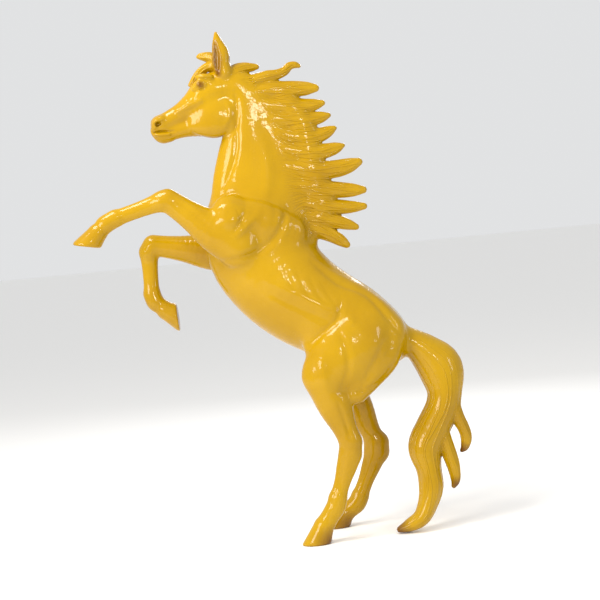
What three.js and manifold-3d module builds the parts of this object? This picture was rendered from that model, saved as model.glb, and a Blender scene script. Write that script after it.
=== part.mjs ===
// A rearing horse, cast as one hollow shell of glass-fibre resin and enamelled golden yellow.
// It stands on its two hind hooves, with the tip of its tail a few millimetres above the floor.
// Millimetres, +Z up. The horse faces -X, its left side is towards -Y, and the origin is the
// bottom centre of its box, on the floor.

import * as THREE from "three";
import { mergeVertices } from "three/addons/utils/BufferGeometryUtils.js";
import Module from "manifold-3d";

// Driving dimensions, in millimetres
const HEIGHT = 2300; // floor to the tip of the ears
const BARREL_HALF_WIDTH = 172; // belly at its widest
const NECK_HALF_WIDTH = 80; // neck, where it leaves the chest
const HEAD_HALF_WIDTH = 62; // head, just behind the eyes
const EAR_OFFSET = 48; // each ear from the middle plane
const FORELEG_OFFSET = 120; // each foreleg from the middle plane
const LEFT_STANCE = 175; // left hind hoof from the middle plane
const RIGHT_STANCE = 166; // right hind hoof from the middle plane
const HOOF_HALF_WIDTH = 56; // hoof, across its sole
const TAIL_HALF_WIDTH = 90; // tail at its fullest
const MANE_HALF_WIDTH = 46; // mane, where it leaves the neck

// How finely the surface is worked
const GRID_STEP = 17; // spacing of the grid that finds the surface
const TRIANGLES = 8800; // left on the finished solid

// The pose and the proportions below are thousandths of the height.
const UNIT = HEIGHT / 1000;
const units = (millimetres) => millimetres / UNIT;
const SIDES = [-1, 1]; // left, then right

const lerp = (a, b, t) => a.map((v, i) => v + (b[i] - v) * t);
const turned = ([x, y, z, ...sizes], side) => [x, y * side, z, ...sizes];

// Rows that give Y as a share of a half-width, with Y in thousandths of the height.
const across = (rows, half) => rows.map(([x, share, ...rest]) => [x, share * half, ...rest]);

// A smooth curve through a list of rows of numbers, read at t from 0 to 1.
function along(rows, t) {
  const last = rows.length - 1;
  const place = Math.min(Math.max(t, 0), 1) * last;
  const i = Math.min(Math.floor(place), last - 1);
  const s = place - i;
  const [a, b, c, d] = [i - 1, i, i + 1, i + 2].map((k) => rows[Math.min(Math.max(k, 0), last)]);
  return b.map(
    (v, k) =>
      v +
      0.5 * s * (c[k] - a[k]) +
      s * s * (a[k] - 2.5 * v + 2 * c[k] - 0.5 * d[k]) +
      0.5 * s * s * s * (3 * v - a[k] - 3 * c[k] + d[k]),
  );
}

// The forms of the figure, in the order in which they are modelled. Each is swept along stations
// [x, y, z, depth, width]: depth is its half-size in the side view, width its half-size along Y.
// It is added to the figure so far, or carved from it, with a fillet of the size of blend.
const STEPS_PER_STATION = 3;
const forms = [];

function form(stations, blend, { carve = false, sole = null } = {}) {
  const steps = stations.length === 2 ? 1 : (stations.length - 1) * STEPS_PER_STATION;
  const rows = Array.from({ length: steps + 1 }, (_, i) => along(stations, i / steps));
  const links = rows.slice(1).map((b, i) => {
    const a = rows[i];
    const span = [b[0] - a[0], b[1] - a[1], b[2] - a[2]];
    const square = Math.max(span[0] ** 2 + span[1] ** 2 + span[2] ** 2, 1e-9);
    const [depth, width] = [a[3], a[4]];
    return Float64Array.of(...a.slice(0, 3), ...span, 1 / square, depth, b[3] - depth, width, b[4] - width);
  });
  const reach = (k, sign) => Math.max(...rows.map((row) => sign * row[k] + Math.max(row[3], row[4])));
  const low = [0, 1, 2].map((k) => -reach(k, -1));
  const high = [0, 1, 2].map((k) => reach(k, 1));
  forms.push({ links, low, high, blend, carve, sole });
}

function pair(stations, blend, options) {
  for (const side of SIDES) form(stations.map((row) => turned(row, side)), blend, options);
}

// A stretch of a limb between two joints, by a profile of rows [share of the way, depth, width].
function stretch(from, to, profile, blend, fullness = 1) {
  form(
    profile.map(([t, depth, width]) => [...lerp(from, to, t), depth * fullness, width * fullness]),
    blend,
  );
}

// Trunk and neck. The flanks, croup and breast are muscles laid over them.
function body() {
  const wide = units(BARREL_HALF_WIDTH);
  const neck = units(NECK_HALF_WIDTH);
  form(
    [
      [-73, 0, 631, 74, 0.66 * wide],
      [-55, 0, 575, 97, 0.82 * wide],
      [-21, 0, 519, 98, 0.93 * wide],
      [22, 0, 473, 93, wide],
      [68, 0, 440, 87, wide],
      [110, 0, 417, 80, 0.97 * wide],
      [155, 0, 392, 64, 0.84 * wide],
      [186, 0, 373, 46, 0.63 * wide],
    ],
    0,
  );
  form(
    [
      [-47, 0, 629, 90, 1.3 * neck],
      [-48, 0, 692, 83, neck],
      [-47, 0, 747, 69, 0.82 * neck],
      [-48, 0, 794, 53, 0.73 * neck],
      [-54, 0, 845, 45, 0.68 * neck],
      [-65, 0, 889, 35, 0.63 * neck],
    ],
    28,
  );
  pair(
    across([
      [15, 0.45, 605, 27, 15],
      [-38, 0.64, 628, 35, 19],
      [-94, 0.67, 650, 29, 23],
    ], wide),
    24,
  );
  form([[-119, -14, 655, 21, 25], [-118, -12, 620, 29, 27], [-111, 0, 580, 33, 35]], 18);
  pair(
    across([
      [116, 0.43, 449, 39, 29],
      [156, 0.49, 424, 37, 29],
      [185, 0.49, 399, 30, 27],
    ], wide),
    24,
  );
  pair(across([[58, 0.6, 424, 50, 27], [50, 0.67, 381, 31, 23]], wide), 20);
}

// The crest carries the mane: a ridge from the poll to the withers.
const CREST = [
  [-60, 0, 904, 25, 18],
  [-24, 0, 870, 27, 18],
  [6, 0, 814, 27, 18],
  [20, 0, 754, 29, 17],
  [29, 0, 684, 31, 19],
  [35, 0, 627, 24, 20],
  [49, 0, 588, 17, 18],
];

// Head and ears
function head() {
  const half = units(HEAD_HALF_WIDTH);
  form(
    [
      [-80, 0, 898, 33, 23],
      [-107, 0, 897, 31, half * 1.05],
      [-128, 0, 891, 25, half],
      [-140, 0, 889, 18, 0.78 * half],
    ],
    16,
  );
  form(
    [
      [-109, 0, 882, 37, 0.9 * half],
      [-137, 0, 873, 30, 0.92 * half],
      [-170, 0, 856, 22, 0.7 * half],
      [-197, 0, 844, 19, 0.61 * half],
      [-218, 0, 835, 19, 0.6 * half],
    ],
    14,
  );
  pair(
    across([
      [-102, 0.45, 849, 37, 14],
      [-112, 0.52, 839, 38, 14],
      [-134, 0.48, 834, 28, 11.5],
    ], half),
    10,
  );
  form(
    [
      [-123, 0, 834, 30, 18],
      [-162, 0, 826, 19, 15],
      [-189, 0, 822, 17, 13],
      [-214, 0, 816, 17, 13],
    ],
    10,
  );
  form([[-219, 0, 833, 20, 16], [-225, 0, 824, 14, 14]], 8);
  form([[-204, 0, 814, 13, 10.5], [-219, 0, 817, 15, 13]], 6);
  face(half);
  ears();
}

// What lies on each side of the head: brow, eye, facial crest, nostril and the line of the mouth.
function face(half) {
  pair(
    across([
      [-117, 0.82, 908, 8.5, 7],
      [-132, 0.93, 907, 8.5, 7],
      [-143, 0.85, 898, 6, 5],
    ], half),
    8,
  );
  pair(across([[-129, 1.19, 896, 4.5, 4.5], [-139, 1.15, 896, 4, 4]], half), 5, { carve: true });
  pair(across([[-134, 0.95, 898, 5, 5], [-135, 0.95, 898, 5, 5]], half), 1.2);
  pair(
    across([
      [-136, 0.82, 874, 5, 4.5],
      [-160, 0.7, 865, 4.5, 4],
      [-181, 0.56, 856, 3.5, 3.5],
    ], half),
    8,
  );
  pair(across([[-215, 0.48, 845, 8, 6], [-225, 0.5, 841, 8, 6], [-228, 0.46, 832, 7, 6]], half), 6);
  pair(across([[-219, 0.74, 841, 3, 5], [-225, 0.74, 836, 3.5, 6]], half), 3.2, { carve: true });
  pair(
    across([
      [-232, 0.56, 821, 1.5, 8],
      [-219, 0.59, 822, 1.5, 8],
      [-204, 0.63, 821, 1.5, 6],
    ], half),
    3,
    { carve: true },
  );
}

function ears() {
  const y = units(EAR_OFFSET);
  const ear = [
    [-86, 0.8, 924, 17, 14],
    [-89, 0.93, 944, 17, 11],
    [-88, 1, 961, 16, 9],
    [-91, 1, 978, 11, 7],
    [-93, 1, 999, 3.5, 3.5],
  ];
  const hollow = [
    [-97, 1.58, 932, 5, 8.5],
    [-96, 1.58, 951, 7, 9],
    [-95, 1.49, 970, 4.5, 6],
    [-96, 1.34, 984, 2, 2.5],
  ];
  pair(across(ear, y), 6);
  pair(across(hollow, y), 2.4, { carve: true });
}

// Legs. Profiles give a stretch's half-sizes from its upper joint to its lower one.
const UPPER_ARM = [[0, 33, 23], [0.55, 41, 25], [1, 32, 23]];
const FOREARM = [[0, 39, 25], [0.31, 38, 26], [0.58, 29, 22], [0.8, 24, 18.5], [1, 22, 18]];
const KNEE = [[0, 18, 16], [1, 18, 16.5]];
const FORE_CANNON = [[0, 19, 15], [0.35, 16, 12], [0.68, 15.2, 11.5], [1, 15.8, 12]];
const GASKIN = [[0, 36, 28], [0.37, 33, 26], [0.72, 24.4, 20], [1, 21, 18]];
const HOCK = [[0, 22, 18], [1, 22, 18]];
const HIND_CANNON = [
  [0, 21.5, 17],
  [0.25, 20.4, 15],
  [0.6, 16.2, 12.6],
  [0.82, 15.6, 12.4],
  [1, 16.2, 13.5],
];
const FETLOCK_SIZES = [[16.8, 14.6], [18, 16.2], [16.8, 14.8], [18, 17]];
const CORONET_DEPTH = 18.6;
const TOE_DEPTH = 26.5;
const SOLE_FILLET = 6;

const at = ([x, z], y) => [x, y, z];

// The fetlock's ball and the pastern below it, then the hoof. The hoof runs on past its sole, where
// a plane cuts it: sole is [a point of the plane, the way that it faces].
function foot({ fetlock, ball, coronet, toe, sole, size = 1 }, y) {
  const places = [fetlock, ball, lerp(ball, coronet, 0.5), coronet];
  form(places.map((p, i) => [...at(p, y), FETLOCK_SIZES[i][0] * size, FETLOCK_SIZES[i][1] * size]), 8);
  const half = units(HOOF_HALF_WIDTH);
  form(
    [
      [...at(coronet, y), CORONET_DEPTH * size, 0.74 * half],
      [...at(toe, y), TOE_DEPTH * size, half],
    ],
    4,
    { sole },
  );
}

function foreleg({ side, fullness, shoulder, elbow, knee, wrist, ...lower }) {
  const y = side * units(FORELEG_OFFSET);
  stretch(at(shoulder, y), at(elbow, y), UPPER_ARM, 16, fullness);
  stretch(at(elbow, y), at(knee, y), FOREARM, 14, fullness);
  stretch(at(knee, y), at(wrist, y), KNEE, 8);
  stretch(at(wrist, y), at(lower.fetlock, y), FORE_CANNON, 10);
  foot(lower, y);
}

// The thigh and the hamstring behind it are the same on both sides, shifted by the pose.
function hindLeg({ side, stance, shift, fullness, hockFullness, stifle, hock, heel, ...lower }) {
  const y = side * units(stance);
  const placed = ([x, share, z, ...sizes]) => [x + shift[0], share * y, z + shift[1], ...sizes];
  form(
    [
      [140, 0.68, 391, 46, 37],
      [111, 0.78, 366, 66, 39],
      [65, 0.87, 334, 51, 35],
      [39, 0.89, 323, 30, 23],
    ].map(placed),
    24,
  );
  form(
    [
      [191, 0.49, 380, 23, 25],
      [172, 0.6, 345, 30, 29],
      [140, 0.73, 311, 26, 27],
      [110, 0.84, 284, 23, 21],
    ].map(placed),
    18,
  );
  stretch(at(stifle, 0.92 * y), at(hock, y), GASKIN, 18, fullness);
  stretch(at(hock, y), at(heel, y), HOCK, 10, hockFullness);
  stretch(at(heel, y), at(lower.fetlock, y), HIND_CANNON, 10);
  foot(lower, y);
}

const FLOOR = [[0, 0, 0], [0, 0, -1]];

function legs() {
  foreleg({
    side: -1,
    fullness: 1.03,
    shoulder: [-100, 651],
    elbow: [-89, 584],
    knee: [-215, 686],
    wrist: [-228, 685],
    fetlock: [-319, 661],
    ball: [-338, 652],
    coronet: [-356, 636],
    toe: [-382, 607],
    sole: [[-378, -52, 612], [-0.2, 0, -0.98]],
  });
  foreleg({
    side: 1,
    fullness: 0.95,
    shoulder: [-106, 635],
    elbow: [-98, 569],
    knee: [-261, 603],
    wrist: [-271, 590],
    fetlock: [-273, 507],
    ball: [-268, 491],
    coronet: [-248, 471],
    toe: [-218, 453],
    sole: [[-225, 52, 458], [1, 0, 0.04]],
  });
  hindLeg({
    side: -1,
    stance: LEFT_STANCE,
    shift: [0, 0],
    fullness: 1,
    hockFullness: 0.98,
    stifle: [53, 306],
    hock: [91, 191],
    heel: [88, 168],
    fetlock: [56, 85],
    ball: [50, 68],
    coronet: [24, 33],
    toe: [5, -9],
    sole: FLOOR,
    size: 1.06,
  });
  hindLeg({
    side: 1,
    stance: RIGHT_STANCE,
    shift: [12, 4],
    fullness: 0.88,
    hockFullness: 1.18,
    stifle: [101, 280],
    hock: [146, 163],
    heel: [145, 147],
    fetlock: [103, 59],
    ball: [95, 45],
    coronet: [66, 23],
    toe: [46, -10],
    sole: FLOOR,
    size: 1.04,
  });
}

// The tail: a full stem that bends to just above the floor, and two locks that part from it. If the
// figure rocks back, it meets the floor.
function tail() {
  const wide = units(TAIL_HALF_WIDTH);
  const stem = [
    [207, 0, 383, 19, 0.6 * wide],
    [232, 0, 366, 26, 0.83 * wide],
    [262, 0, 337, 37, 0.95 * wide],
    [282, -2, 309, 44, wide],
    [286, -5, 267, 34, wide],
    [278, -8, 233, 32, wide],
    [256, -13, 196, 33, wide],
    [236, -20, 159, 33, 0.95 * wide],
    [239, -28, 119, 24, 0.82 * wide],
    [240, -35, 84, 23, 0.76 * wide],
    [231, -41, 54, 19, 0.68 * wide],
    [215, -46, 27, 16, 0.6 * wide],
    [191, -50, 14.7, 12.5, 0.47 * wide],
    [170, -52, 8.3, 6, 0.24 * wide],
  ];
  form(stem, 12);
  form(
    [
      [266, -20, 226, 20, 18],
      [270, -26, 190, 16, 16],
      [283, -30, 136, 14, 13],
      [288, -33, 113, 11.5, 11],
      [289, -34, 92, 9, 8],
      [284, -34, 80, 5, 5],
    ],
    5,
  );
  form(
    [
      [294, -18, 246, 17, 18],
      [304, -22, 214, 14, 14],
      [314, -24, 190, 11.5, 11.5],
      [318, -24, 170, 10.5, 10],
      [314, -24, 154, 8, 7.5],
      [307, -24, 146, 4, 4],
    ],
    5,
  );
}

// The mane: a mass over the crest, and locks that leave it and end in free tips. The first lock, over
// the poll, ends in a curl and has stations of its own. Each of the others is given by its tip, the
// sag of its middle below the straight line to the tip, and its half-sizes at its root and its tip.
const LOCKS = [
  [[89, 0, 878], -1, 18, 8],
  [[100, 0, 848], 7, 18, 6],
  [[110, 0, 823], 6, 19, 5],
  [[119, 0, 797], 13, 20, 5],
  [[133, 0, 762], 10, 20, 4],
  [[160, 0, 727], 12, 21, 8],
  [[164, 0, 672], 4, 18, 7.4],
  [[162, 0, 640], 5, 16, 7],
  [[143, 0, 601], -4, 17, 6.4],
  [[122, 0, 568], -8, 17, 7],
];
const LOCK_STATIONS = [0, 0.22, 0.45, 0.68, 0.86, 1];

function maneLock([tip, sag, rootSize, tipSize], rank) {
  const root = along(CREST, (rank + 1.45) / (LOCKS.length + 1.6)).slice(0, 3);
  const spread = units(MANE_HALF_WIDTH);
  form(
    LOCK_STATIONS.map((t) => {
      const [x, y, z] = lerp(root, tip, t);
      return [
        x,
        y,
        z - sag * 4 * t * (1 - t),
        tipSize + (rootSize - tipSize) * (1 - t * t) ** 0.6,
        spread * (0.35 + 0.65 * (1 - t) ** 1.2 + 0.5 * t * (1 - t)),
      ];
    }),
    4,
  );
}

function mane() {
  const spread = units(MANE_HALF_WIDTH);
  form(CREST, 24);
  form(
    [
      [-2, 0, 895, 18, 0.66 * spread],
      [30, 0, 859, 23, 0.8 * spread],
      [55, 0, 811, 28, 0.86 * spread],
      [62, 0, 760, 30, 0.86 * spread],
      [68, 0, 704, 32, 0.86 * spread],
      [78, 0, 660, 32, 0.84 * spread],
      [73, 0, 627, 24, 0.8 * spread],
      [57, 0, 605, 13, 0.6 * spread],
    ],
    14,
  );
  LOCKS.forEach(maneLock);
  form(
    [
      [-26, 0, 904, 13, 0.92 * spread],
      [-2, 0, 909, 12, 0.78 * spread],
      [17, 0, 911, 10, 0.6 * spread],
      [32, 0, 916, 8.5, 0.46 * spread],
      [42, 0, 925, 7, 0.36 * spread],
      [53, 0, 927, 6, 0.28 * spread],
      [61, 0, 924, 4.5, 0.2 * spread],
    ],
    4,
  );
  form(
    [
      [-79, 0, 912, 14, 23],
      [-64, 0, 924, 14, 18],
      [-46, 0, 930, 10, 13],
      [-30, 0, 930, 7.5, 8],
      [-21, 0, 930, 5.5, 6],
    ],
    4,
  );
  form(
    [
      [-95, 0, 945, 13, 18],
      [-107, 0, 955, 11, 14],
      [-119, 0, 959, 8, 9.5],
      [-129, 0, 960, 5.5, 6.5],
      [-133, 0, 960, 3.5, 4],
    ],
    3,
  );
  form(
    [
      [-101, 0, 939, 11.5, 16],
      [-117, 0, 938, 9, 11.5],
      [-133, 0, 928, 7.5, 10],
      [-145, 0, 916, 5.5, 6.5],
      [-154, 0, 907, 3.5, 4],
    ],
    3,
  );
}

body();
head();
legs();
tail();
mane();

// The figure's surface is where this field is zero: it is below zero inside.
function round(a, b, blend) {
  if (blend === 0) return Math.min(a, b);
  return Math.min(a, b) - Math.max(blend - Math.abs(a - b), 0) ** 3 / (6 * blend * blend);
}

function toLink(link, x, y, z) {
  const px = x - link[0];
  const py = y - link[1];
  const pz = z - link[2];
  const t = Math.min(Math.max((px * link[3] + py * link[4] + pz * link[5]) * link[6], 0), 1);
  const depth = link[7] + t * link[8];
  const width = link[9] + t * link[10];
  const flat = (px - t * link[3]) ** 2 + (pz - t * link[5]) ** 2;
  const across = (py - t * link[4]) ** 2;
  const k = Math.sqrt(flat / depth ** 2 + across / width ** 2);
  const slope = Math.sqrt(flat / depth ** 4 + across / width ** 4);
  return slope < 1e-9 ? -Math.min(depth, width) : (k * (k - 1)) / slope;
}

function field(x, y, z) {
  let d = 1e6;
  for (const { links, low, high, blend, carve, sole } of forms) {
    const away = Math.hypot(
      Math.max(low[0] - x, 0, x - high[0]),
      Math.max(low[1] - y, 0, y - high[1]),
      Math.max(low[2] - z, 0, z - high[2]),
    );
    if (carve ? away > blend - d : away - blend > d) continue;
    let e = 1e6;
    for (const link of links) e = Math.min(e, toLink(link, x, y, z));
    if (sole) {
      const [p, n] = sole;
      e = -round(-e, -((x - p[0]) * n[0] + (y - p[1]) * n[1] + (z - p[2]) * n[2]), SOLE_FILLET);
    }
    d = carve ? -round(-d, e, blend) : round(d, e, blend);
  }
  return d;
}

// The surface by marching tetrahedra: six to each cell of the grid, and only in the blocks of cells
// that the surface can pass through.
const BLOCK = 4;
const CORNERS = [0, 1, 2, 3, 4, 5, 6, 7].map((c) => [c & 1, (c >> 1) & 1, c >> 2]);
const TETRAHEDRA = [[1, 3], [1, 5], [2, 3], [2, 6], [4, 5], [4, 6]].map(([a, b]) => [0, a, b, 7]);

function surface(step) {
  const low = [0, 1, 2].map((k) => Math.min(...forms.map((f) => f.low[k])) - 2 * step);
  const high = [0, 1, 2].map((k) => Math.max(...forms.map((f) => f.high[k])) + 2 * step);
  const count = low.map((v, k) => Math.ceil((high[k] - v) / step / BLOCK) * BLOCK + 1);
  const strides = [1, count[0], count[0] * count[1]];
  const values = new Float32Array(count[0] * count[1] * count[2]).fill(NaN);
  const place = (n) => [n % count[0], Math.floor(n / strides[1]) % count[1], Math.floor(n / strides[2])];
  const value = (n) => {
    if (Number.isNaN(values[n])) {
      const [i, j, k] = place(n);
      values[n] = field(low[0] + i * step, low[1] + j * step, low[2] + k * step) || 1e-6;
    }
    return values[n];
  };
  const points = [];
  const faces = [];
  const crossings = new Map();
  const crossing = (a, b) => {
    const key = Math.min(a, b) * 8 + CORNERS.findIndex(
      ([i, j, k]) => i * strides[0] + j * strides[1] + k * strides[2] === Math.abs(a - b),
    );
    if (!crossings.has(key)) {
      const t = Math.min(Math.max(value(a) / (value(a) - value(b)), 0.05), 0.95);
      crossings.set(key, points.length / 3);
      points.push(...lerp(place(a), place(b), t).map((v, k) => low[k] + v * step));
    }
    return crossings.get(key);
  };
  const cell = (origin) => {
    const corner = CORNERS.map(([i, j, k]) => origin + i * strides[0] + j * strides[1] + k * strides[2]);
    const inside = corner.map((n) => value(n) < 0);
    if (inside.every((v) => v === inside[0])) return;
    for (const tetrahedron of TETRAHEDRA) {
      const within = tetrahedron.filter((c) => inside[c]).map((c) => corner[c]);
      const without = tetrahedron.filter((c) => !inside[c]).map((c) => corner[c]);
      if (!within.length || !without.length) continue;
      const [few, many] = within.length < without.length ? [within, without] : [without, within];
      const ring = few.length === 1
        ? many.map((n) => crossing(few[0], n))
        : [[0, 0], [0, 1], [1, 1], [1, 0]].map(([p, q]) => crossing(few[p], many[q]));
      const centre = (group) =>
        [0, 1, 2].map((k) => group.reduce((sum, n) => sum + place(n)[k], 0) / group.length);
      const out = centre(without).map((v, k) => v - centre(within)[k]);
      for (let i = 2; i < ring.length; i++) {
        const face = [ring[0], ring[i - 1], ring[i]];
        const [p, q, r] = face.map((v) => points.slice(3 * v, 3 * v + 3));
        const u = q.map((v, k) => v - p[k]);
        const w = r.map((v, k) => v - p[k]);
        const facing =
          out[0] * (u[1] * w[2] - u[2] * w[1]) +
          out[1] * (u[2] * w[0] - u[0] * w[2]) +
          out[2] * (u[0] * w[1] - u[1] * w[0]);
        faces.push(...(facing < 0 ? [face[0], face[2], face[1]] : face));
      }
    }
  };
  const reach = BLOCK * step * 1.3;
  for (let k = 0; k < count[2] - 1; k += BLOCK)
    for (let j = 0; j < count[1] - 1; j += BLOCK)
      for (let i = 0; i < count[0] - 1; i += BLOCK) {
        const middle = [i, j, k].map((v, axis) => low[axis] + (v + BLOCK / 2) * step);
        if (Math.abs(field(...middle)) > reach) continue;
        for (let n = 0; n < BLOCK ** 3; n++)
          cell(i + (n % BLOCK) + (j + (Math.floor(n / BLOCK) % BLOCK)) * strides[1] +
            (k + Math.floor(n / BLOCK ** 2)) * strides[2]);
      }
  return { points: Float64Array.from(points), faces: Uint32Array.from(faces) };
}

const EVENNESS = 1e-6; // how much an edge's length counts against closing it up
const LEAST_TURN = 0.2; // cosine of the most that a triangle may turn
const LEAST_SHAPE = 0.04; // twice a triangle's area over its longest side squared

// Fewer triangles: the edge whose loss changes the surface least is closed up, again and again. The
// change is measured by the squared distances to the planes of the triangles that an edge stands for.
function decimate({ points, faces }, target) {
  const incident = Array.from({ length: points.length / 3 }, () => []);
  faces.forEach((v, i) => incident[v].push(Math.floor(i / 3)));
  const quadrics = new Float64Array((points.length / 3) * 10);
  const normal = new Float64Array(3);
  const corners = new Float64Array(9);
  const measure = (f, moved, position) => {
    for (let c = 0; c < 3; c++) {
      const v = faces[3 * f + c];
      for (let k = 0; k < 3; k++) corners[3 * c + k] = v === moved ? position[k] : points[3 * v + k];
    }
    const [ax, ay, az, bx, by, bz, cx, cy, cz] = corners;
    normal[0] = (by - ay) * (cz - az) - (bz - az) * (cy - ay);
    normal[1] = (bz - az) * (cx - ax) - (bx - ax) * (cz - az);
    normal[2] = (bx - ax) * (cy - ay) - (by - ay) * (cx - ax);
    return Math.hypot(normal[0], normal[1], normal[2]);
  };
  for (let f = 0; f < faces.length / 3; f++) {
    const size = measure(f, -1);
    if (size < 1e-12) continue;
    const [a, b, c] = normal.map((n) => n / size);
    const d = -(a * corners[0] + b * corners[1] + c * corners[2]);
    const terms = [a * a, a * b, a * c, a * d, b * b, b * c, b * d, c * c, c * d, d * d];
    for (let i = 0; i < 3; i++)
      for (let k = 0; k < 10; k++) quadrics[10 * faces[3 * f + i] + k] += (terms[k] * size) / 2;
  }
  const version = new Uint32Array(points.length / 3);
  const queue = makeQueue();
  const offer = (a, b) => {
    const q = new Float64Array(10);
    for (let k = 0; k < 10; k++) q[k] = quadrics[10 * a + k] + quadrics[10 * b + k];
    const middle = [0, 1, 2].map((k) => (points[3 * a + k] + points[3 * b + k]) / 2);
    const length = Math.hypot(...[0, 1, 2].map((k) => points[3 * a + k] - points[3 * b + k]));
    const position = lowest(q, middle, length);
    const [x, y, z] = position;
    const error =
      q[0] * x * x + 2 * q[1] * x * y + 2 * q[2] * x * z + 2 * q[3] * x + q[4] * y * y +
      2 * q[5] * y * z + 2 * q[6] * y + q[7] * z * z + 2 * q[8] * z + q[9];
    const cost = Math.max(error, 0) + EVENNESS * length ** 4;
    queue.push({ cost, a, b, position, seen: version[a] + version[b] });
  };
  for (let i = 0; i < faces.length; i++) {
    const a = faces[i];
    const b = faces[i % 3 === 2 ? i - 2 : i + 1];
    if (a < b) offer(a, b);
  }
  const neighbours = (v) => {
    const found = new Set();
    for (const f of incident[v]) for (let c = 0; c < 3; c++) found.add(faces[3 * f + c]);
    found.delete(v);
    return found;
  };
  const folds = (v, other, position) =>
    incident[v].some((f) => {
      const [p, q, r] = [faces[3 * f], faces[3 * f + 1], faces[3 * f + 2]];
      if (p === other || q === other || r === other) return false;
      const before = measure(f, -1);
      const [nx, ny, nz] = normal;
      const after = measure(f, v, position);
      const turn = nx * normal[0] + ny * normal[1] + nz * normal[2];
      const [ax, ay, az, bx, by, bz, cx, cy, cz] = corners;
      const longest = Math.max(
        (ax - bx) ** 2 + (ay - by) ** 2 + (az - bz) ** 2,
        (bx - cx) ** 2 + (by - cy) ** 2 + (bz - cz) ** 2,
        (cx - ax) ** 2 + (cy - ay) ** 2 + (cz - az) ** 2,
      );
      return turn < LEAST_TURN * before * after || after < LEAST_SHAPE * longest;
    });
  const gone = new Uint8Array(faces.length / 3);
  let left = faces.length / 3;
  while (left > target && queue.size()) {
    const { a, b, position, seen } = queue.pop();
    if (seen !== version[a] + version[b]) continue;
    const around = neighbours(a);
    const others = neighbours(b);
    if (!around.has(b) || around.size + others.size < 8) continue;
    let shared = 0;
    for (const v of others) if (around.has(v)) shared++;
    if (shared !== 2 || folds(a, b, position) || folds(b, a, position)) continue;
    for (let k = 0; k < 3; k++) points[3 * a + k] = position[k];
    for (let k = 0; k < 10; k++) quadrics[10 * a + k] += quadrics[10 * b + k];
    for (const f of incident[b]) {
      const own = [faces[3 * f], faces[3 * f + 1], faces[3 * f + 2]];
      if (own.includes(a)) {
        gone[f] = 1;
        left--;
        for (const v of own) if (v !== b) incident[v].splice(incident[v].indexOf(f), 1);
      } else {
        faces[3 * f + own.indexOf(b)] = a;
        incident[a].push(f);
      }
    }
    incident[b] = [];
    version[a]++;
    version[b] = 1e6 + b;
    for (const v of neighbours(a)) offer(a, v);
  }
  return faces.filter((_, i) => !gone[Math.floor(i / 3)]);
}

// The place near the middle of an edge where its quadric is least.
function lowest(q, middle, length) {
  const hold = (q[0] + q[4] + q[7]) * 1e-3 + 1e-9;
  const m = new THREE.Matrix3().set(
    q[0] + hold, q[1], q[2], q[1], q[4] + hold, q[5], q[2], q[5], q[7] + hold,
  );
  if (Math.abs(m.determinant()) < 1e-30) return middle;
  const pull = new THREE.Vector3(
    hold * middle[0] - q[3],
    hold * middle[1] - q[6],
    hold * middle[2] - q[8],
  );
  const found = pull.applyMatrix3(m.invert()).toArray();
  return Math.hypot(...found.map((v, k) => v - middle[k])) > 2 * length ? middle : found;
}

// A queue that gives the cheapest entry first.
function makeQueue() {
  const heap = [];
  const swap = (i, j) => {
    const held = heap[i];
    heap[i] = heap[j];
    heap[j] = held;
  };
  const size = () => heap.length;
  const push = (entry) => {
    heap.push(entry);
    for (let i = heap.length - 1; i > 0; ) {
      const parent = (i - 1) >> 1;
      if (heap[parent].cost <= heap[i].cost) break;
      swap(i, parent);
      i = parent;
    }
  };
  const pop = () => {
    swap(0, heap.length - 1);
    const top = heap.pop();
    for (let i = 0; ; ) {
      let least = i;
      for (const child of [2 * i + 1, 2 * i + 2])
        if (child < heap.length && heap[child].cost < heap[least].cost) least = child;
      if (least === i) break;
      swap(i, least);
      i = least;
    }
    return top;
  };
  return { size, push, pop };
}

const wasm = await Module();
wasm.setup();

// A closed mesh as a solid: its vertices are shared and its other attributes dropped.
function solid(geometry) {
  geometry.deleteAttribute("normal");
  geometry.deleteAttribute("uv");
  const merged = mergeVertices(geometry, 1e-4);
  return new wasm.Manifold(
    new wasm.Mesh({
      numProp: 3,
      vertProperties: merged.attributes.position.array,
      triVerts: new Uint32Array(merged.index.array),
    }),
  );
}

function figure() {
  const found = surface(units(GRID_STEP));
  const faces = decimate(found, TRIANGLES);
  const shell = new THREE.BufferGeometry();
  const positions = Float32Array.from(found.points, (v) => v * UNIT);
  shell.setAttribute("position", new THREE.BufferAttribute(positions, 3));
  shell.setIndex(new THREE.BufferAttribute(faces, 1));
  return solid(shell);
}

// The floor cuts the hind soles off flat, at height zero.
function standing(figureSolid) {
  const slab = new THREE.BoxGeometry(HEIGHT * 2, HEIGHT, HEIGHT).translate(0, 0, -HEIGHT / 2);
  return figureSolid.subtract(solid(slab));
}

const made = standing(figure()).getMesh();
const geometry = new THREE.BufferGeometry();
geometry.setAttribute("position", new THREE.BufferAttribute(made.vertProperties, 3));
geometry.setIndex(new THREE.BufferAttribute(made.triVerts, 1));
geometry.computeBoundingBox();
const { min, max } = geometry.boundingBox;
geometry.translate(-(min.x + max.x) / 2, -(min.y + max.y) / 2, -min.z);
geometry.computeVertexNormals();

const enamel = new THREE.MeshStandardMaterial({ color: "#d9a400", roughness: 0.2, metalness: 0 });
const horse = new THREE.Mesh(geometry, enamel);
horse.name = "horse";

const sculpture = new THREE.Group();
sculpture.add(horse);
export default sculpture;
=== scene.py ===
"""A rearing horse cast in glass-fibre resin and enamelled golden yellow, with its carved hair.

The figure is one field of swept forms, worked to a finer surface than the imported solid's, and the
ridges of the mane and the tail are laid along its locks.
"""

import math

import bmesh
import bpy
import numpy as np
from bpy.props import FloatProperty, FloatVectorProperty, IntProperty, PointerProperty
from mathutils import Matrix, Vector
from mathutils.bvhtree import BVHTree


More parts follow.
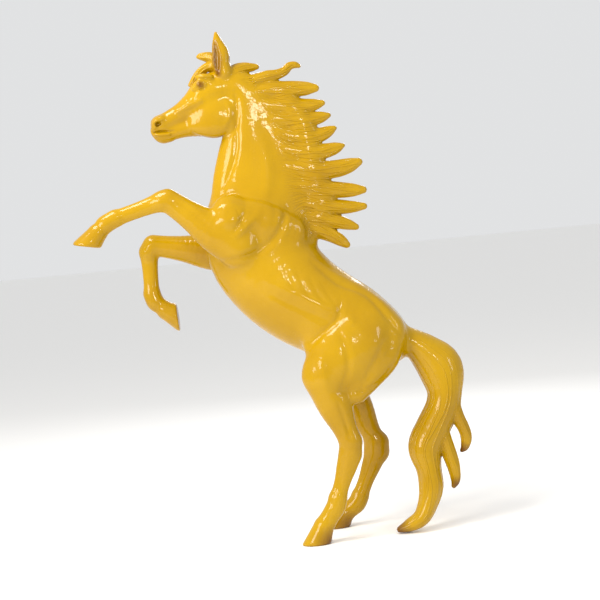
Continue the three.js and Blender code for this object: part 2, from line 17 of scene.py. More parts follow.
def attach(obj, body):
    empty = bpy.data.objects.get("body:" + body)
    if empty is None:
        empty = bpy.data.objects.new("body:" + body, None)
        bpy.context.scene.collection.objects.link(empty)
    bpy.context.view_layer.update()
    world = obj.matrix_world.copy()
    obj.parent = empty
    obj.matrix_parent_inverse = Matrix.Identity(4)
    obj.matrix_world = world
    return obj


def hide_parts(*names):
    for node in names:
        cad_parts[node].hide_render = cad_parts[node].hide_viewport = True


bl_info = {
    "name": "Rearing resin horse",
    "version": (1, 0, 0),
    "blender": (4, 5, 0),
    "location": "View3D > Sidebar > Horse",
    "description": "Builds an enamelled resin horse, its carved hair and a plain studio",
    "category": "Add Mesh",
}

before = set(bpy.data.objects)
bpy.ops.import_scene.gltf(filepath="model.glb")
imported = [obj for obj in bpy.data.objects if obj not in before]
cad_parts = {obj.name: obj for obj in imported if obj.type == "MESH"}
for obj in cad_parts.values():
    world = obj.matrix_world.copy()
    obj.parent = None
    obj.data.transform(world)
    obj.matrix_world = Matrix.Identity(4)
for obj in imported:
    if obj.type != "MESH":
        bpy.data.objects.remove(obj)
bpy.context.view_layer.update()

# Driving dimensions, in millimetres
HEIGHT = 2300  # floor to the tip of the ears
BARREL_HALF_WIDTH = 172  # belly at its widest
NECK_HALF_WIDTH = 80  # neck, where it leaves the chest
HEAD_HALF_WIDTH = 62  # head, just behind the eyes
EAR_OFFSET = 48  # each ear from the middle plane
FORELEG_OFFSET = 120  # each foreleg from the middle plane
LEFT_STANCE = 175  # left hind hoof from the middle plane
RIGHT_STANCE = 166  # right hind hoof from the middle plane
HOOF_HALF_WIDTH = 56  # hoof, across its sole
TAIL_HALF_WIDTH = 90  # tail at its fullest
MANE_HALF_WIDTH = 46  # mane, where it leaves the neck

# The pose and the proportions are thousandths of the height. The figure's own origin is on the
# floor in its middle plane, and this is where that is in the part's frame, in metres.
UNIT = HEIGHT / 1000
METRES = UNIT / 1000
PLACE = Vector((0.0877, 0.0036, 0))
SIDES = (-1, 1)  # left, then right

STEPS_PER_STATION = 4
FAR = 1e3
TINY = 1e-9  # keeps a division off zero


def units(millimetres):
    return millimetres / UNIT


def lerp(a, b, t):
    return [v + (w - v) * t for v, w in zip(a, b)]


def turned(row, side):
    return [row[0], row[1] * side, *row[2:]]


def across(rows, half):
    """Rows that give Y as a share of a half-width, with Y in thousandths of the height."""
    return [[row[0], row[1] * half, *row[2:]] for row in rows]


def along(rows, t):
    """A smooth curve through a list of rows of numbers, read at t from 0 to 1."""
    last = len(rows) - 1
    place = min(max(t, 0), 1) * last
    i = min(int(place), last - 1)
    s = place - i
    a, b, c, d = (np.array(rows[min(max(k, 0), last)], float) for k in (i - 1, i, i + 1, i + 2))
    return (
        b
        + 0.5 * s * (c - a)
        + s * s * (a - 2.5 * b + 2 * c - 0.5 * d)
        + 0.5 * s**3 * (3 * b - a - 3 * c + d)
    )


# The forms of the figure, in the order in which they are modelled. Each is swept along stations
# [x, y, z, depth, width]: depth is its half-size in the side view, width its half-size along Y.
# It is added to the figure so far, or carved from it, with a fillet of the size of blend.
forms = []


def form(stations, blend, carve=False, sole=None):
    steps = 1 if len(stations) == 2 else (len(stations) - 1) * STEPS_PER_STATION
    rows = np.array([along(stations, i / steps) for i in range(steps + 1)])
    reach = rows[:, 3:].max(axis=1)[:, None]
    forms.append(
        {
            "start": rows[:-1],
            "change": rows[1:] - rows[:-1],
            "low": (rows[:, :3] - reach).min(axis=0),
            "high": (rows[:, :3] + reach).max(axis=0),
            "blend": blend,
            "carve": carve,
            "sole": sole,
        }
    )


def pair(stations, blend, **options):
    for side in SIDES:
        form([turned(row, side) for row in stations], blend, **options)


def stretch(start, end, profile, blend, fullness=1):
    """A stretch of a limb between two joints, by rows [share of the way, depth, width]."""
    rows = [
        [*lerp(start, end, t), depth * fullness, width * fullness] for t, depth, width in profile
    ]
    form(rows, blend)


# Trunk and neck. The flanks, croup and breast are muscles laid over them.
def body():
    wide = units(BARREL_HALF_WIDTH)
    neck = units(NECK_HALF_WIDTH)
    form(
        [
            [-73, 0, 631, 74, 0.66 * wide], [-55, 0, 575, 97, 0.82 * wide],
            [-21, 0, 519, 98, 0.93 * wide], [22, 0, 473, 93, wide], [68, 0, 440, 87, wide],
            [110, 0, 417, 80, 0.97 * wide], [155, 0, 392, 64, 0.84 * wide],
            [186, 0, 373, 46, 0.63 * wide],
        ],
        0,
    )
    form(
        [
            [-47, 0, 629, 90, 1.3 * neck], [-48, 0, 692, 83, neck],
            [-47, 0, 747, 69, 0.82 * neck], [-48, 0, 794, 53, 0.73 * neck],
            [-54, 0, 845, 45, 0.68 * neck], [-65, 0, 889, 35, 0.63 * neck],
        ],
        28,
    )
    pair(
        across([
            [15, 0.45, 605, 27, 15], [-38, 0.64, 628, 35, 19], [-94, 0.67, 650, 29, 23],
        ], wide),
        24,
    )
    form([[-119, -14, 655, 21, 25], [-118, -12, 620, 29, 27], [-111, 0, 580, 33, 35]], 18)
    pair(
        across([
            [116, 0.43, 449, 39, 29], [156, 0.49, 424, 37, 29], [185, 0.49, 399, 30, 27],
        ], wide),
        24,
    )
    pair(across([[58, 0.6, 424, 50, 27], [50, 0.67, 381, 31, 23]], wide), 20)


# The crest carries the mane: a ridge from the poll to the withers.
CREST = [
    [-60, 0, 904, 25, 18], [-24, 0, 870, 27, 18], [6, 0, 814, 27, 18], [20, 0, 754, 29, 17],
    [29, 0, 684, 31, 19], [35, 0, 627, 24, 20], [49, 0, 588, 17, 18],
]


# Head and ears
def head():
    half = units(HEAD_HALF_WIDTH)
    form(
        [
            [-80, 0, 898, 33, 23], [-107, 0, 897, 31, half * 1.05], [-128, 0, 891, 25, half],
            [-140, 0, 889, 18, 0.78 * half],
        ],
        16,
    )
    form(
        [
            [-109, 0, 882, 37, 0.9 * half], [-137, 0, 873, 30, 0.92 * half],
            [-170, 0, 856, 22, 0.7 * half], [-197, 0, 844, 19, 0.61 * half],
            [-218, 0, 835, 19, 0.6 * half],
        ],
        14,
    )
    pair(
        across([
            [-102, 0.45, 849, 37, 14], [-112, 0.52, 839, 38, 14], [-134, 0.48, 834, 28, 11.5],
        ], half),
        10,
    )
    form(
        [
            [-123, 0, 834, 30, 18], [-162, 0, 826, 19, 15], [-189, 0, 822, 17, 13],
            [-214, 0, 816, 17, 13],
        ],
        10,
    )
    form([[-219, 0, 833, 20, 16], [-225, 0, 824, 14, 14]], 8)
    form([[-204, 0, 814, 13, 10.5], [-219, 0, 817, 15, 13]], 6)
    face(half)
    ears()


# What lies on each side of the head: brow, eye, facial crest, nostril and the line of the mouth.
def face(half):
    pair(
        across([
            [-117, 0.82, 908, 8.5, 7], [-132, 0.93, 907, 8.5, 7], [-143, 0.85, 898, 6, 5],
        ], half),
        8,
    )
    pair(across([[-129, 1.19, 896, 4.5, 4.5], [-139, 1.15, 896, 4, 4]], half), 5, carve=True)
    pair(across([[-134, 0.95, 898, 5, 5], [-135, 0.95, 898, 5, 5]], half), 1.2)
    pair(
        across([
            [-136, 0.82, 874, 5, 4.5], [-160, 0.7, 865, 4.5, 4], [-181, 0.56, 856, 3.5, 3.5],
        ], half),
        8,
    )
    pair(across([[-215, 0.48, 845, 8, 6], [-225, 0.5, 841, 8, 6], [-228, 0.46, 832, 7, 6]], half), 6)
    pair(across([[-219, 0.74, 841, 3, 5], [-225, 0.74, 836, 3.5, 6]], half), 3.2, carve=True)
    pair(
        across([
            [-232, 0.56, 821, 1.5, 8], [-219, 0.59, 822, 1.5, 8], [-204, 0.63, 821, 1.5, 6],
        ], half),
        3,
        carve=True,
    )


def ears():
    y = units(EAR_OFFSET)
    ear = [
        [-86, 0.8, 924, 17, 14], [-89, 0.93, 944, 17, 11], [-88, 1, 961, 16, 9],
        [-91, 1, 978, 11, 7], [-93, 1, 999, 3.5, 3.5],
    ]
    hollow = [
        [-97, 1.58, 932, 5, 8.5], [-96, 1.58, 951, 7, 9], [-95, 1.49, 970, 4.5, 6],
        [-96, 1.34, 984, 2, 2.5],
    ]
    pair(across(ear, y), 6)
    pair(across(hollow, y), 2.4, carve=True)


# Legs. Profiles give a stretch's half-sizes from its upper joint to its lower one.
UPPER_ARM = [[0, 33, 23], [0.55, 41, 25], [1, 32, 23]]
FOREARM = [[0, 39, 25], [0.31, 38, 26], [0.58, 29, 22], [0.8, 24, 18.5], [1, 22, 18]]
KNEE = [[0, 18, 16], [1, 18, 16.5]]
FORE_CANNON = [[0, 19, 15], [0.35, 16, 12], [0.68, 15.2, 11.5], [1, 15.8, 12]]
GASKIN = [[0, 36, 28], [0.37, 33, 26], [0.72, 24.4, 20], [1, 21, 18]]
HOCK = [[0, 22, 18], [1, 22, 18]]
HIND_CANNON = [
    [0, 21.5, 17], [0.25, 20.4, 15], [0.6, 16.2, 12.6], [0.82, 15.6, 12.4], [1, 16.2, 13.5],
]
FETLOCK_SIZES = [[16.8, 14.6], [18, 16.2], [16.8, 14.8], [18, 17]]
CORONET_DEPTH = 18.6
TOE_DEPTH = 26.5
SOLE_FILLET = 6


def at(place, y):
    return [place[0], y, place[1]]


# The fetlock's ball and the pastern below it, then the hoof. The hoof runs on past its sole, where
# a plane cuts it: sole is [a point of the plane, the way that it faces].
def foot(y, fetlock, ball, coronet, toe, sole, size=1):
    places = [fetlock, ball, lerp(ball, coronet, 0.5), coronet]
    form([[*at(p, y), d * size, w * size] for p, (d, w) in zip(places, FETLOCK_SIZES)], 8)
    half = units(HOOF_HALF_WIDTH)
    form(
        [
            [*at(coronet, y), CORONET_DEPTH * size, 0.74 * half],
            [*at(toe, y), TOE_DEPTH * size, half],
        ],
        4,
        sole=sole,
    )


def foreleg(side, fullness, shoulder, elbow, knee, wrist, **lower):
    y = side * units(FORELEG_OFFSET)
    stretch(at(shoulder, y), at(elbow, y), UPPER_ARM, 16, fullness)
    stretch(at(elbow, y), at(knee, y), FOREARM, 14, fullness)
    stretch(at(knee, y), at(wrist, y), KNEE, 8)
    stretch(at(wrist, y), at(lower["fetlock"], y), FORE_CANNON, 10)
    foot(y, **lower)


# The thigh and the hamstring behind it are the same on both sides, shifted by the pose.
def hind_leg(side, stance, shift, fullness, hock_fullness, stifle, hock, heel, **lower):
    y = side * units(stance)

    def placed(rows):
        return [[x + shift[0], share * y, z + shift[1], *sizes] for x, share, z, *sizes in rows]

    thigh = [
        [140, 0.68, 391, 46, 37], [111, 0.78, 366, 66, 39], [65, 0.87, 334, 51, 35],
        [39, 0.89, 323, 30, 23],
    ]
    hamstring = [
        [191, 0.49, 380, 23, 25], [172, 0.6, 345, 30, 29], [140, 0.73, 311, 26, 27],
        [110, 0.84, 284, 23, 21],
    ]
    form(placed(thigh), 24)
    form(placed(hamstring), 18)
    stretch(at(stifle, 0.92 * y), at(hock, y), GASKIN, 18, fullness)
    stretch(at(hock, y), at(heel, y), HOCK, 10, hock_fullness)
    stretch(at(heel, y), at(lower["fetlock"], y), HIND_CANNON, 10)
    foot(y, **lower)


FLOOR = [[0, 0, 0], [0, 0, -1]]
HIND_SHIFT = [12, 4]  # units along X and Z, of the right haunch from the left one


def legs():
    foreleg(
        side=-1,
        fullness=1.03,
        shoulder=[-100, 651],
        elbow=[-89, 584],
        knee=[-215, 686],
        wrist=[-228, 685],
        fetlock=[-319, 661],
        ball=[-338, 652],
        coronet=[-356, 636],
        toe=[-382, 607],
        sole=[[-378, -52, 612], [-0.2, 0, -0.98]],
    )
    foreleg(
        side=1,
        fullness=0.95,
        shoulder=[-106, 635],
        elbow=[-98, 569],
        knee=[-261, 603],
        wrist=[-271, 590],
        fetlock=[-273, 507],
        ball=[-268, 491],
        coronet=[-248, 471],
        toe=[-218, 453],
        sole=[[-225, 52, 458], [1, 0, 0.04]],
    )
    hind_leg(
        side=-1,
        stance=LEFT_STANCE,
        shift=[0, 0],
        fullness=1,
        hock_fullness=0.98,
        stifle=[53, 306],
        hock=[91, 191],
        heel=[88, 168],
        fetlock=[56, 85],
        ball=[50, 68],
        coronet=[24, 33],
        toe=[5, -9],
        sole=FLOOR,
        size=1.06,
    )
    hind_leg(
        side=1,
        stance=RIGHT_STANCE,
        shift=HIND_SHIFT,
        fullness=0.88,
        hock_fullness=1.18,
        stifle=[101, 280],
        hock=[146, 163],
        heel=[145, 147],
        fetlock=[103, 59],
        ball=[95, 45],
        coronet=[66, 23],
        toe=[46, -10],
        sole=FLOOR,
        size=1.04,
    )


# The tail: a full stem that bends to just above the floor, and two locks that part from it. If the
# figure rocks back, it meets the floor.
TAIL_WIDTH = units(TAIL_HALF_WIDTH)
TAIL_STEM = [
    [207, 0, 383, 19, 0.6 * TAIL_WIDTH], [232, 0, 366, 26, 0.83 * TAIL_WIDTH],
    [262, 0, 337, 37, 0.95 * TAIL_WIDTH], [282, -2, 309, 44, TAIL_WIDTH],
    [286, -5, 267, 34, TAIL_WIDTH], [278, -8, 233, 32, TAIL_WIDTH],
    [256, -13, 196, 33, TAIL_WIDTH], [236, -20, 159, 33, 0.95 * TAIL_WIDTH],
    [239, -28, 119, 24, 0.82 * TAIL_WIDTH], [240, -35, 84, 23, 0.76 * TAIL_WIDTH],
    [231, -41, 54, 19, 0.68 * TAIL_WIDTH], [215, -46, 27, 16, 0.6 * TAIL_WIDTH],
    [191, -50, 14.7, 12.5, 0.47 * TAIL_WIDTH], [170, -52, 8.3, 6, 0.24 * TAIL_WIDTH],
]
TAIL_INNER_LOCK = [
    [266, -20, 226, 20, 18], [270, -26, 190, 16, 16], [283, -30, 136, 14, 13],
    [288, -33, 113, 11.5, 11], [289, -34, 92, 9, 8], [284, -34, 80, 5, 5],
]
TAIL_OUTER_LOCK = [
    [294, -18, 246, 17, 18], [304, -22, 214, 14, 14], [314, -24, 190, 11.5, 11.5],
    [318, -24, 170, 10.5, 10], [314, -24, 154, 8, 7.5], [307, -24, 146, 4, 4],
]


def tail():
    form(TAIL_STEM, 12)
    form(TAIL_INNER_LOCK, 5)
    form(TAIL_OUTER_LOCK, 5)


# The mane: a mass over the crest, and locks that leave it and end in free tips. The first lock, over
# the poll, ends in a curl and has stations of its own. Each of the others is given by its tip, the
# sag of its middle below the straight line to the tip, and its half-sizes at its root and its tip.
LOCKS = [
    [[89, 0, 878], -1, 18, 8],
    [[100, 0, 848], 7, 18, 6],
    [[110, 0, 823], 6, 19, 5],
    [[119, 0, 797], 13, 20, 5],
    [[133, 0, 762], 10, 20, 4],
    [[160, 0, 727], 12, 21, 8],
    [[164, 0, 672], 4, 18, 7.4],
    [[162, 0, 640], 5, 16, 7],
    [[143, 0, 601], -4, 17, 6.4],
    [[122, 0, 568], -8, 17, 7],
]
LOCK_STATIONS = [0, 0.22, 0.45, 0.68, 0.86, 1]
MANE_SPREAD = units(MANE_HALF_WIDTH)
# The roots are spread over the crest, in steps of a lock: what lies before the first one, and what
# the crest has over.
ROOT_START = 1.45
ROOT_SPARE = 1.6


def lock_stations(lock, rank):
    tip, sag, root_size, tip_size = lock
    root = along(CREST, (rank + ROOT_START) / (len(LOCKS) + ROOT_SPARE))[:3]
    stations = []
    for t in LOCK_STATIONS:
        x, y, z = lerp(root, tip, t)
        depth = tip_size + (root_size - tip_size) * (1 - t * t) ** 0.6
        width = MANE_SPREAD * (0.35 + 0.65 * (1 - t) ** 1.2 + 0.5 * t * (1 - t))
        stations.append([x, y, z - sag * 4 * t * (1 - t), depth, width])
    return stations


MANE_MASS = [
    [-2, 0, 895, 18, 0.66 * MANE_SPREAD], [30, 0, 859, 23, 0.8 * MANE_SPREAD],
    [55, 0, 811, 28, 0.86 * MANE_SPREAD], [62, 0, 760, 30, 0.86 * MANE_SPREAD],
    [68, 0, 704, 32, 0.86 * MANE_SPREAD], [78, 0, 660, 32, 0.84 * MANE_SPREAD],
    [73, 0, 627, 24, 0.8 * MANE_SPREAD], [57, 0, 605, 13, 0.6 * MANE_SPREAD],
]
CURLED_LOCK = [
    [-26, 0, 904, 13, 0.92 * MANE_SPREAD], [-2, 0, 909, 12, 0.78 * MANE_SPREAD],
    [17, 0, 911, 10, 0.6 * MANE_SPREAD], [32, 0, 916, 8.5, 0.46 * MANE_SPREAD],
    [42, 0, 925, 7, 0.36 * MANE_SPREAD], [53, 0, 927, 6, 0.28 * MANE_SPREAD],
    [61, 0, 924, 4.5, 0.2 * MANE_SPREAD],
]
EAR_TUFT = [
    [-79, 0, 912, 14, 23], [-64, 0, 924, 14, 18], [-46, 0, 930, 10, 13], [-30, 0, 930, 7.5, 8],
    [-21, 0, 930, 5.5, 6],
]
FORELOCK_TOP = [
    [-95, 0, 945, 13, 18], [-107, 0, 955, 11, 14], [-119, 0, 959, 8, 9.5],
    [-129, 0, 960, 5.5, 6.5], [-133, 0, 960, 3.5, 4],
]
FORELOCK_FRONT = [
    [-101, 0, 939, 11.5, 16], [-117, 0, 938, 9, 11.5], [-133, 0, 928, 7.5, 10],
    [-145, 0, 916, 5.5, 6.5], [-154, 0, 907, 3.5, 4],
]


def mane():
    form(CREST, 24)
    form(MANE_MASS, 14)
    for rank, lock in enumerate(LOCKS):
        form(lock_stations(lock, rank), 4)
    form(CURLED_LOCK, 4)
    form(EAR_TUFT, 4)
    form(FORELOCK_TOP, 3)
    form(FORELOCK_FRONT, 3)


# Finer relief, laid into the same field: it shows at arm's length.
def fine_head():
    """The lids, the eyeball, the brow, the nostril and its rim, the mouth and the lower lip."""
    upper_lid = [
        [-122, 29, 902, 2, 2.5], [-126, 29.8, 908, 2.5, 3], [-134, 29.8, 909, 2.5, 3],
        [-140, 27, 906, 2, 2.5],
    ]
    lower_lid = [
        [-122, 28.8, 901, 1.5, 2.5], [-128, 28, 897, 2, 2.5], [-136, 27.4, 898, 2, 2.5],
        [-140, 26.2, 903, 1.5, 2.5],
    ]
    eyeball = [[-129, 25.4, 902, 4.5, 7.5], [-134, 25, 903, 4.5, 7.5]]
    brow = [[-137, 22, 918, 4.5, 7.5], [-125, 27, 919, 5, 7.5], [-110, 25, 917, 4, 6]]
    rim = [
        [-215, 17, 843, 2.5, 4], [-223, 18, 843, 3.5, 4.5], [-229, 17.6, 838, 3, 4.5],
        [-227, 16.4, 829, 2, 3],
    ]
    nostril = [[-218, 17.6, 836, 2.5, 6.5], [-223, 18, 835, 3.5, 8]]
    mouth = [[-224, 14.2, 821, 1.5, 4.5], [-208, 13.8, 821, 1.5, 4.5], [-191, 13.4, 820, 1, 3.5]]
    lip = [[-230, 11.4, 816, 2.5, 4.5], [-217, 12.2, 815, 3, 4.5], [-201, 12, 815, 2.5, 4]]
    pair(upper_lid, 1.4)
    pair(lower_lid, 1.4)
    pair(eyeball, 0.6)
    pair(brow, 3)
    pair(rim, 1.8)
    pair(nostril, 1.2, carve=True)
    pair(mouth, 1.4, carve=True)
    pair(lip, 2)


body()
head()
legs()
tail()
mane()
fine_head()

# The line down each side of the neck where the mane's hair starts, from the poll to the withers.
MANE_EDGE = [
    [-55, 908], [-26, 880], [-14, 847], [-2, 804], [7, 744], [16, 675], [38, 613], [58, 583],
]

# Muscle relief on the sides, in the order nose to tail: (path of [x, z], height, half-width), with
# grooves below zero. It is laid on the surface along its normal, where that faces sideways.
HEAD_RELIEF = [
    ([[-67, 884], [-64, 848], [-71, 818], [-87, 800]], -2.6, 5),
    ([[-86, 869], [-80, 842], [-95, 816]], 1.2, 7),
    ([[-130, 893], [-155, 874], [-188, 861]], 0.8, 4),
]
SHOULDER_RELIEF = [
    ([[-66, 870], [-71, 813], [-78, 761], [-109, 692]], -3.2, 8),
    ([[-23, 785], [-18, 722], [-30, 669]], 2.2, 16),
    ([[-130, 673], [-94, 681], [-54, 663]], -4, 15),
    ([[-120, 647], [-102, 635], [-79, 641]], 6.5, 22),
    ([[-66, 653], [-77, 635], [-90, 619]], -2.2, 5),
    ([[-48, 640], [-69, 621], [-90, 605]], 3.6, 9),
    ([[14, 649], [-9, 605], [-43, 576], [-78, 564]], -4.2, 9),
    ([[-130, 559], [-91, 561], [-51, 569]], -3.4, 7),
    ([[-48, 521], [21, 480], [98, 437]], 2.6, 11),
    ([[-43, 493], [18, 455], [80, 420]], -2, 10),
    ([[50, 542], [96, 496], [148, 470], [186, 419], [210, 382]], -3, 7),
    ([[45, 554], [98, 510], [153, 481], [198, 422]], 2, 6),
]
RIBS = [
    ([[-5, 548], [4, 508], [20, 472]], -0.9, 5),
    ([[18, 534], [30, 494], [48, 462]], -0.9, 5),
    ([[42, 516], [55, 480], [74, 452]], -0.9, 5),
    ([[65, 499], [81, 466], [98, 442]], -0.8, 5),
]
HAUNCH_RELIEF = [
    ([[98, 458], [87, 427], [52, 401], [24, 375]], -4, 8),
    ([[61, 293], [102, 287], [154, 297], [192, 335]], -3, 7),
    ([[105, 429], [119, 416]], 3.2, 14),
    ([[87, 408], [99, 372], [99, 330], [79, 289]], -2.8, 9),
    ([[174, 379], [157, 350], [132, 311], [113, 278]], -3, 8),
    ([[52, 369], [49, 331], [57, 295]], 2.4, 12),
    ([[74, 270], [85, 226], [90, 199]], -2.6, 5),
    ([[78, 173], [64, 124], [41, 71]], -1.6, 4.5),
]
LEFT_FORELEG_RELIEF = [
    ([[-128, 617], [-164, 651], [-200, 678]], -2.4, 6),
    ([[-145, 649], [-173, 671], [-199, 687]], 1.6, 6),
]
RIGHT_FORELEG_RELIEF = [
    ([[-126, 579], [-177, 590], [-232, 599]], -2.4, 6),
    ([[-140, 594], [-179, 604], [-223, 610]], 1.6, 6),
]


def relief_of(side):
    """The relief of one side of the horse."""
    foreleg = LEFT_FORELEG_RELIEF if side < 0 else RIGHT_FORELEG_RELIEF
    shift = (0, 0) if side < 0 else HIND_SHIFT
    haunch = [
        ([[x + shift[0], z + shift[1]] for x, z in path], height, width)
        for path, height, width in HAUNCH_RELIEF
    ]
    return HEAD_RELIEF + SHOULDER_RELIEF + RIBS + haunch + foreleg


# How the relief is laid: a path is cut into straight pieces, and swells from its ends to its
# middle. The relief starts where the surface faces far enough sideways, and falls off by this power
# of e at its half-width.
PATH_PIECES = 12
PATH_ENDS = (0.03, 0.97)
FACING_GAIN = 1.6
FACING_LOSS = 0.25
RELIEF_FALL = 2


def to_path(points, path):
    """How far points [x, z] are from a path, and its swell there: 1 in its middle, least at its ends."""
    rows = np.array([along(path, i / PATH_PIECES) for i in range(PATH_PIECES + 1)])
    best = np.full(len(points), FAR)
    share = np.zeros(len(points))
    for i, (a, b) in enumerate(zip(rows[:-1], rows[1:])):
        span = b - a
        t = np.clip((points - a) @ span / max(span @ span, TINY), 0, 1)
        away = np.linalg.norm(points - a - t[:, None] * span, axis=1)
        share = np.where(away < best, (i + t) / PATH_PIECES, share)
        best = np.minimum(best, away)
    return best, np.sin(np.clip(share, *PATH_ENDS) * math.pi) ** 0.5


def modelled(vertices, normals):
    """The vertices with the relief of the muscles laid on."""
    height = np.zeros(len(vertices))
    for side in SIDES:
        facing = np.clip(side * normals[:, 1] * FACING_GAIN - FACING_LOSS, 0, 1)
        for path, rise, width in relief_of(side):
            away, swell = to_path(vertices[:, [0, 2]], path)
            height += facing * rise * swell * np.exp(-((away / width) ** 2) * RELIEF_FALL)
    return vertices + normals * height[:, None]


def rounded(a, b, blend):
    if blend == 0:
        return np.minimum(a, b)
    return np.minimum(a, b) - np.maximum(blend - np.abs(a - b), 0) ** 3 / (6 * blend * blend)


def to_links(points, shape):
    """How far points are from a form: the least over its links, below zero inside."""
    start, change = shape["start"], shape["change"]
    span = change[:, :3]
    square = np.maximum((span * span).sum(axis=1), TINY)
    offset = points[:, None, :] - start[None, :, :3]
    t = np.clip((offset * span).sum(axis=2) / square, 0, 1)
    off = offset - t[..., None] * span
    depth = start[:, 3] + t * change[:, 3]
    width = start[:, 4] + t * change[:, 4]
    flat = off[..., 0] ** 2 + off[..., 2] ** 2
    wide = off[..., 1] ** 2
    k = np.sqrt(flat / depth**2 + wide / width**2)
    slope = np.sqrt(flat / depth**4 + wide / width**4)
    inmost = -np.minimum(depth, width)
    away = np.where(slope < TINY, inmost, k * (k - 1) / np.maximum(slope, TINY))
    return away.min(axis=1)


def field_near(points, near):
    """The figure's field at points that only the forms in near can reach."""
    d = np.full(len(points), FAR)
    for shape in near:
        outside = np.maximum(np.maximum(shape["low"] - points, points - shape["high"]), 0)
        away = np.sqrt((outside * outside).sum(axis=1))
        blend = shape["blend"]
        live = np.flatnonzero(away <= blend - d if shape["carve"] else away - blend <= d)
        if not len(live):
            continue
        e = to_links(points[live], shape)
        if shape["sole"]:
            point, facing = (np.array(v, float) for v in shape["sole"])
            e = -rounded(-e, -((points[live] - point) @ facing), SOLE_FILLET)
        d[live] = -rounded(-d[live], e, blend) if shape["carve"] else rounded(d[live], e, blend)
    return d


def forms_near(low, high, reach):
    """The forms that come within reach of a box with their blends."""
    return [
        shape
        for shape in forms
        if np.all(shape["low"] - shape["blend"] - reach <= high)
        and np.all(shape["high"] + shape["blend"] + reach >= low)
    ]


BIN = 24  # units, of the boxes that points are sorted into
BIN_REACH = 30  # units, beyond a box, of the forms that count in it


def field(points):
    """The figure's field at any points."""
    values = np.empty(len(points))
    keys = np.floor(points / BIN).astype(int)
    order = np.lexsort(keys.T)
    breaks = np.flatnonzero(np.any(np.diff(keys[order], axis=0), axis=1)) + 1
    for group in np.split(order, breaks):
        chosen = points[group]
        near = forms_near(chosen.min(axis=0), chosen.max(axis=0), BIN_REACH)
        values[group] = field_near(chosen, near)
    return values


# The surface, by surface nets: a vertex in each cell that the surface crosses, and a quad round
# each edge of the grid that it cuts. The grid is finer where the head is.
BLOCK = 8  # cells along each side of a block of the grid
BLOCK_RADII = 1.4  # a block is worked if its middle is this many of its radii from the surface,
BLOCK_MARGIN = 1  # and this many units, or nearer
BLOCK_REACH = 12  # units, beyond a block's points, of the forms that count there
CORNERS = np.array([[c & 1, (c >> 1) & 1, c >> 2] for c in range(8)])
EDGES = [
    (a, b)
    for a in range(8)
    for b in range(a + 1, 8)
    if np.abs(CORNERS[a] - CORNERS[b]).sum() == 1
]


def grid_lines(low, high, coarse, fine, span):
    """Places of the grid's planes along an axis: fine inside span and coarse outside it."""
    lines = [low]
    while lines[-1] < high or (len(lines) - 1) % BLOCK:
        inside = span[0] <= lines[-1] <= span[1]
        lines.append(lines[-1] + (fine if inside else coarse))
    return np.array(lines)


def lattice(*axes):
    """Every [i, j, k] with i, j and k from the three axes."""
    return np.stack(np.meshgrid(*axes, indexing="ij"), axis=-1).reshape(-1, 3)


def spots(lines, index):
    """Points of the grid, from their numbers along each axis."""
    return np.stack([lines[k][index[:, k]] for k in range(3)], axis=1)


def blocks_near_surface(lines, count):
    blocks = lattice(*[np.arange(0, c - 1, BLOCK) for c in count])
    low, high = spots(lines, blocks), spots(lines, blocks + BLOCK)
    radius = np.linalg.norm(high - low, axis=1) / 2
    return blocks[np.abs(field((low + high) / 2)) < BLOCK_RADII * radius + BLOCK_MARGIN]


def field_on_grid(lines, blocks, strides, total):
    """The field at the points of the given blocks, and no number at the rest of the grid."""
    values = np.full(total, np.nan, np.float32)
    local = lattice(*[np.arange(BLOCK + 1)] * 3)
    for block in blocks:
        at_points = block + local
        spot = at_points @ strides
        missing = np.isnan(values[spot])
        if missing.any():
            points = spots(lines, at_points[missing])
            near = forms_near(points.min(axis=0), points.max(axis=0), BLOCK_REACH)
            values[spot[missing]] = field_near(points, near)
    return values


def crossed_cells(values, blocks, strides):
    inner = lattice(*[np.arange(BLOCK)] * 3)
    cells = (blocks[:, None, :] + inner[None, :, :]).reshape(-1, 3)
    inside = np.stack([values[(cells + corner) @ strides] < 0 for corner in CORNERS], axis=1)
    return cells[inside.any(axis=1) & ~inside.all(axis=1)]


def vertices_of(cells, values, lines, strides):
    """A vertex in each cell, in the middle of the places where the surface cuts its edges."""
    total = np.zeros((len(cells), 3))
    weight = np.zeros(len(cells))
    for a, b in EDGES:
        first, second = cells + CORNERS[a], cells + CORNERS[b]
        va, vb = values[first @ strides], values[second @ strides]
        cut = (va < 0) != (vb < 0)
        t = np.where(cut, va / np.where(cut, va - vb, 1), 0)[:, None]
        pa, pb = spots(lines, first), spots(lines, second)
        total += np.where(cut[:, None], pa + (pb - pa) * t, 0)
        weight += cut
    return total / weight[:, None]


def quads_of(cells, values, count, strides):
    """A quad round each edge that the surface cuts, through the four cells that share the edge."""
    index = np.full(count.prod(), -1, np.int32)
    index[cells @ strides] = np.arange(len(cells))
    quads = []
    for axis in range(3):
        step, u, v = np.roll(np.eye(3, dtype=int), -axis, axis=0)
        here, there = values[cells @ strides] < 0, values[(cells + step) @ strides] < 0
        cut = (here != there) & (cells[:, (axis + 1) % 3] > 0) & (cells[:, (axis + 2) % 3] > 0)
        chosen, out = cells[cut], here[cut]
        ring = np.stack([index[(chosen - o) @ strides] for o in (u + v, v, 0 * u, u)], axis=1)
        ring[~out] = ring[~out][:, ::-1]
        quads.append(ring[(ring >= 0).all(axis=1)])
    return np.concatenate(quads)


def net(lines):
    """Vertices and quads of the surface on a grid whose planes are given for each axis."""
    count = np.array([len(v) for v in lines])
    strides = np.array([count[1] * count[2], count[2], 1])
    blocks = blocks_near_surface(lines, count)
    values = field_on_grid(lines, blocks, strides, count.prod())
    cells = crossed_cells(values, blocks, strides)
    return vertices_of(cells, values, lines, strides), quads_of(cells, values, count, strides)


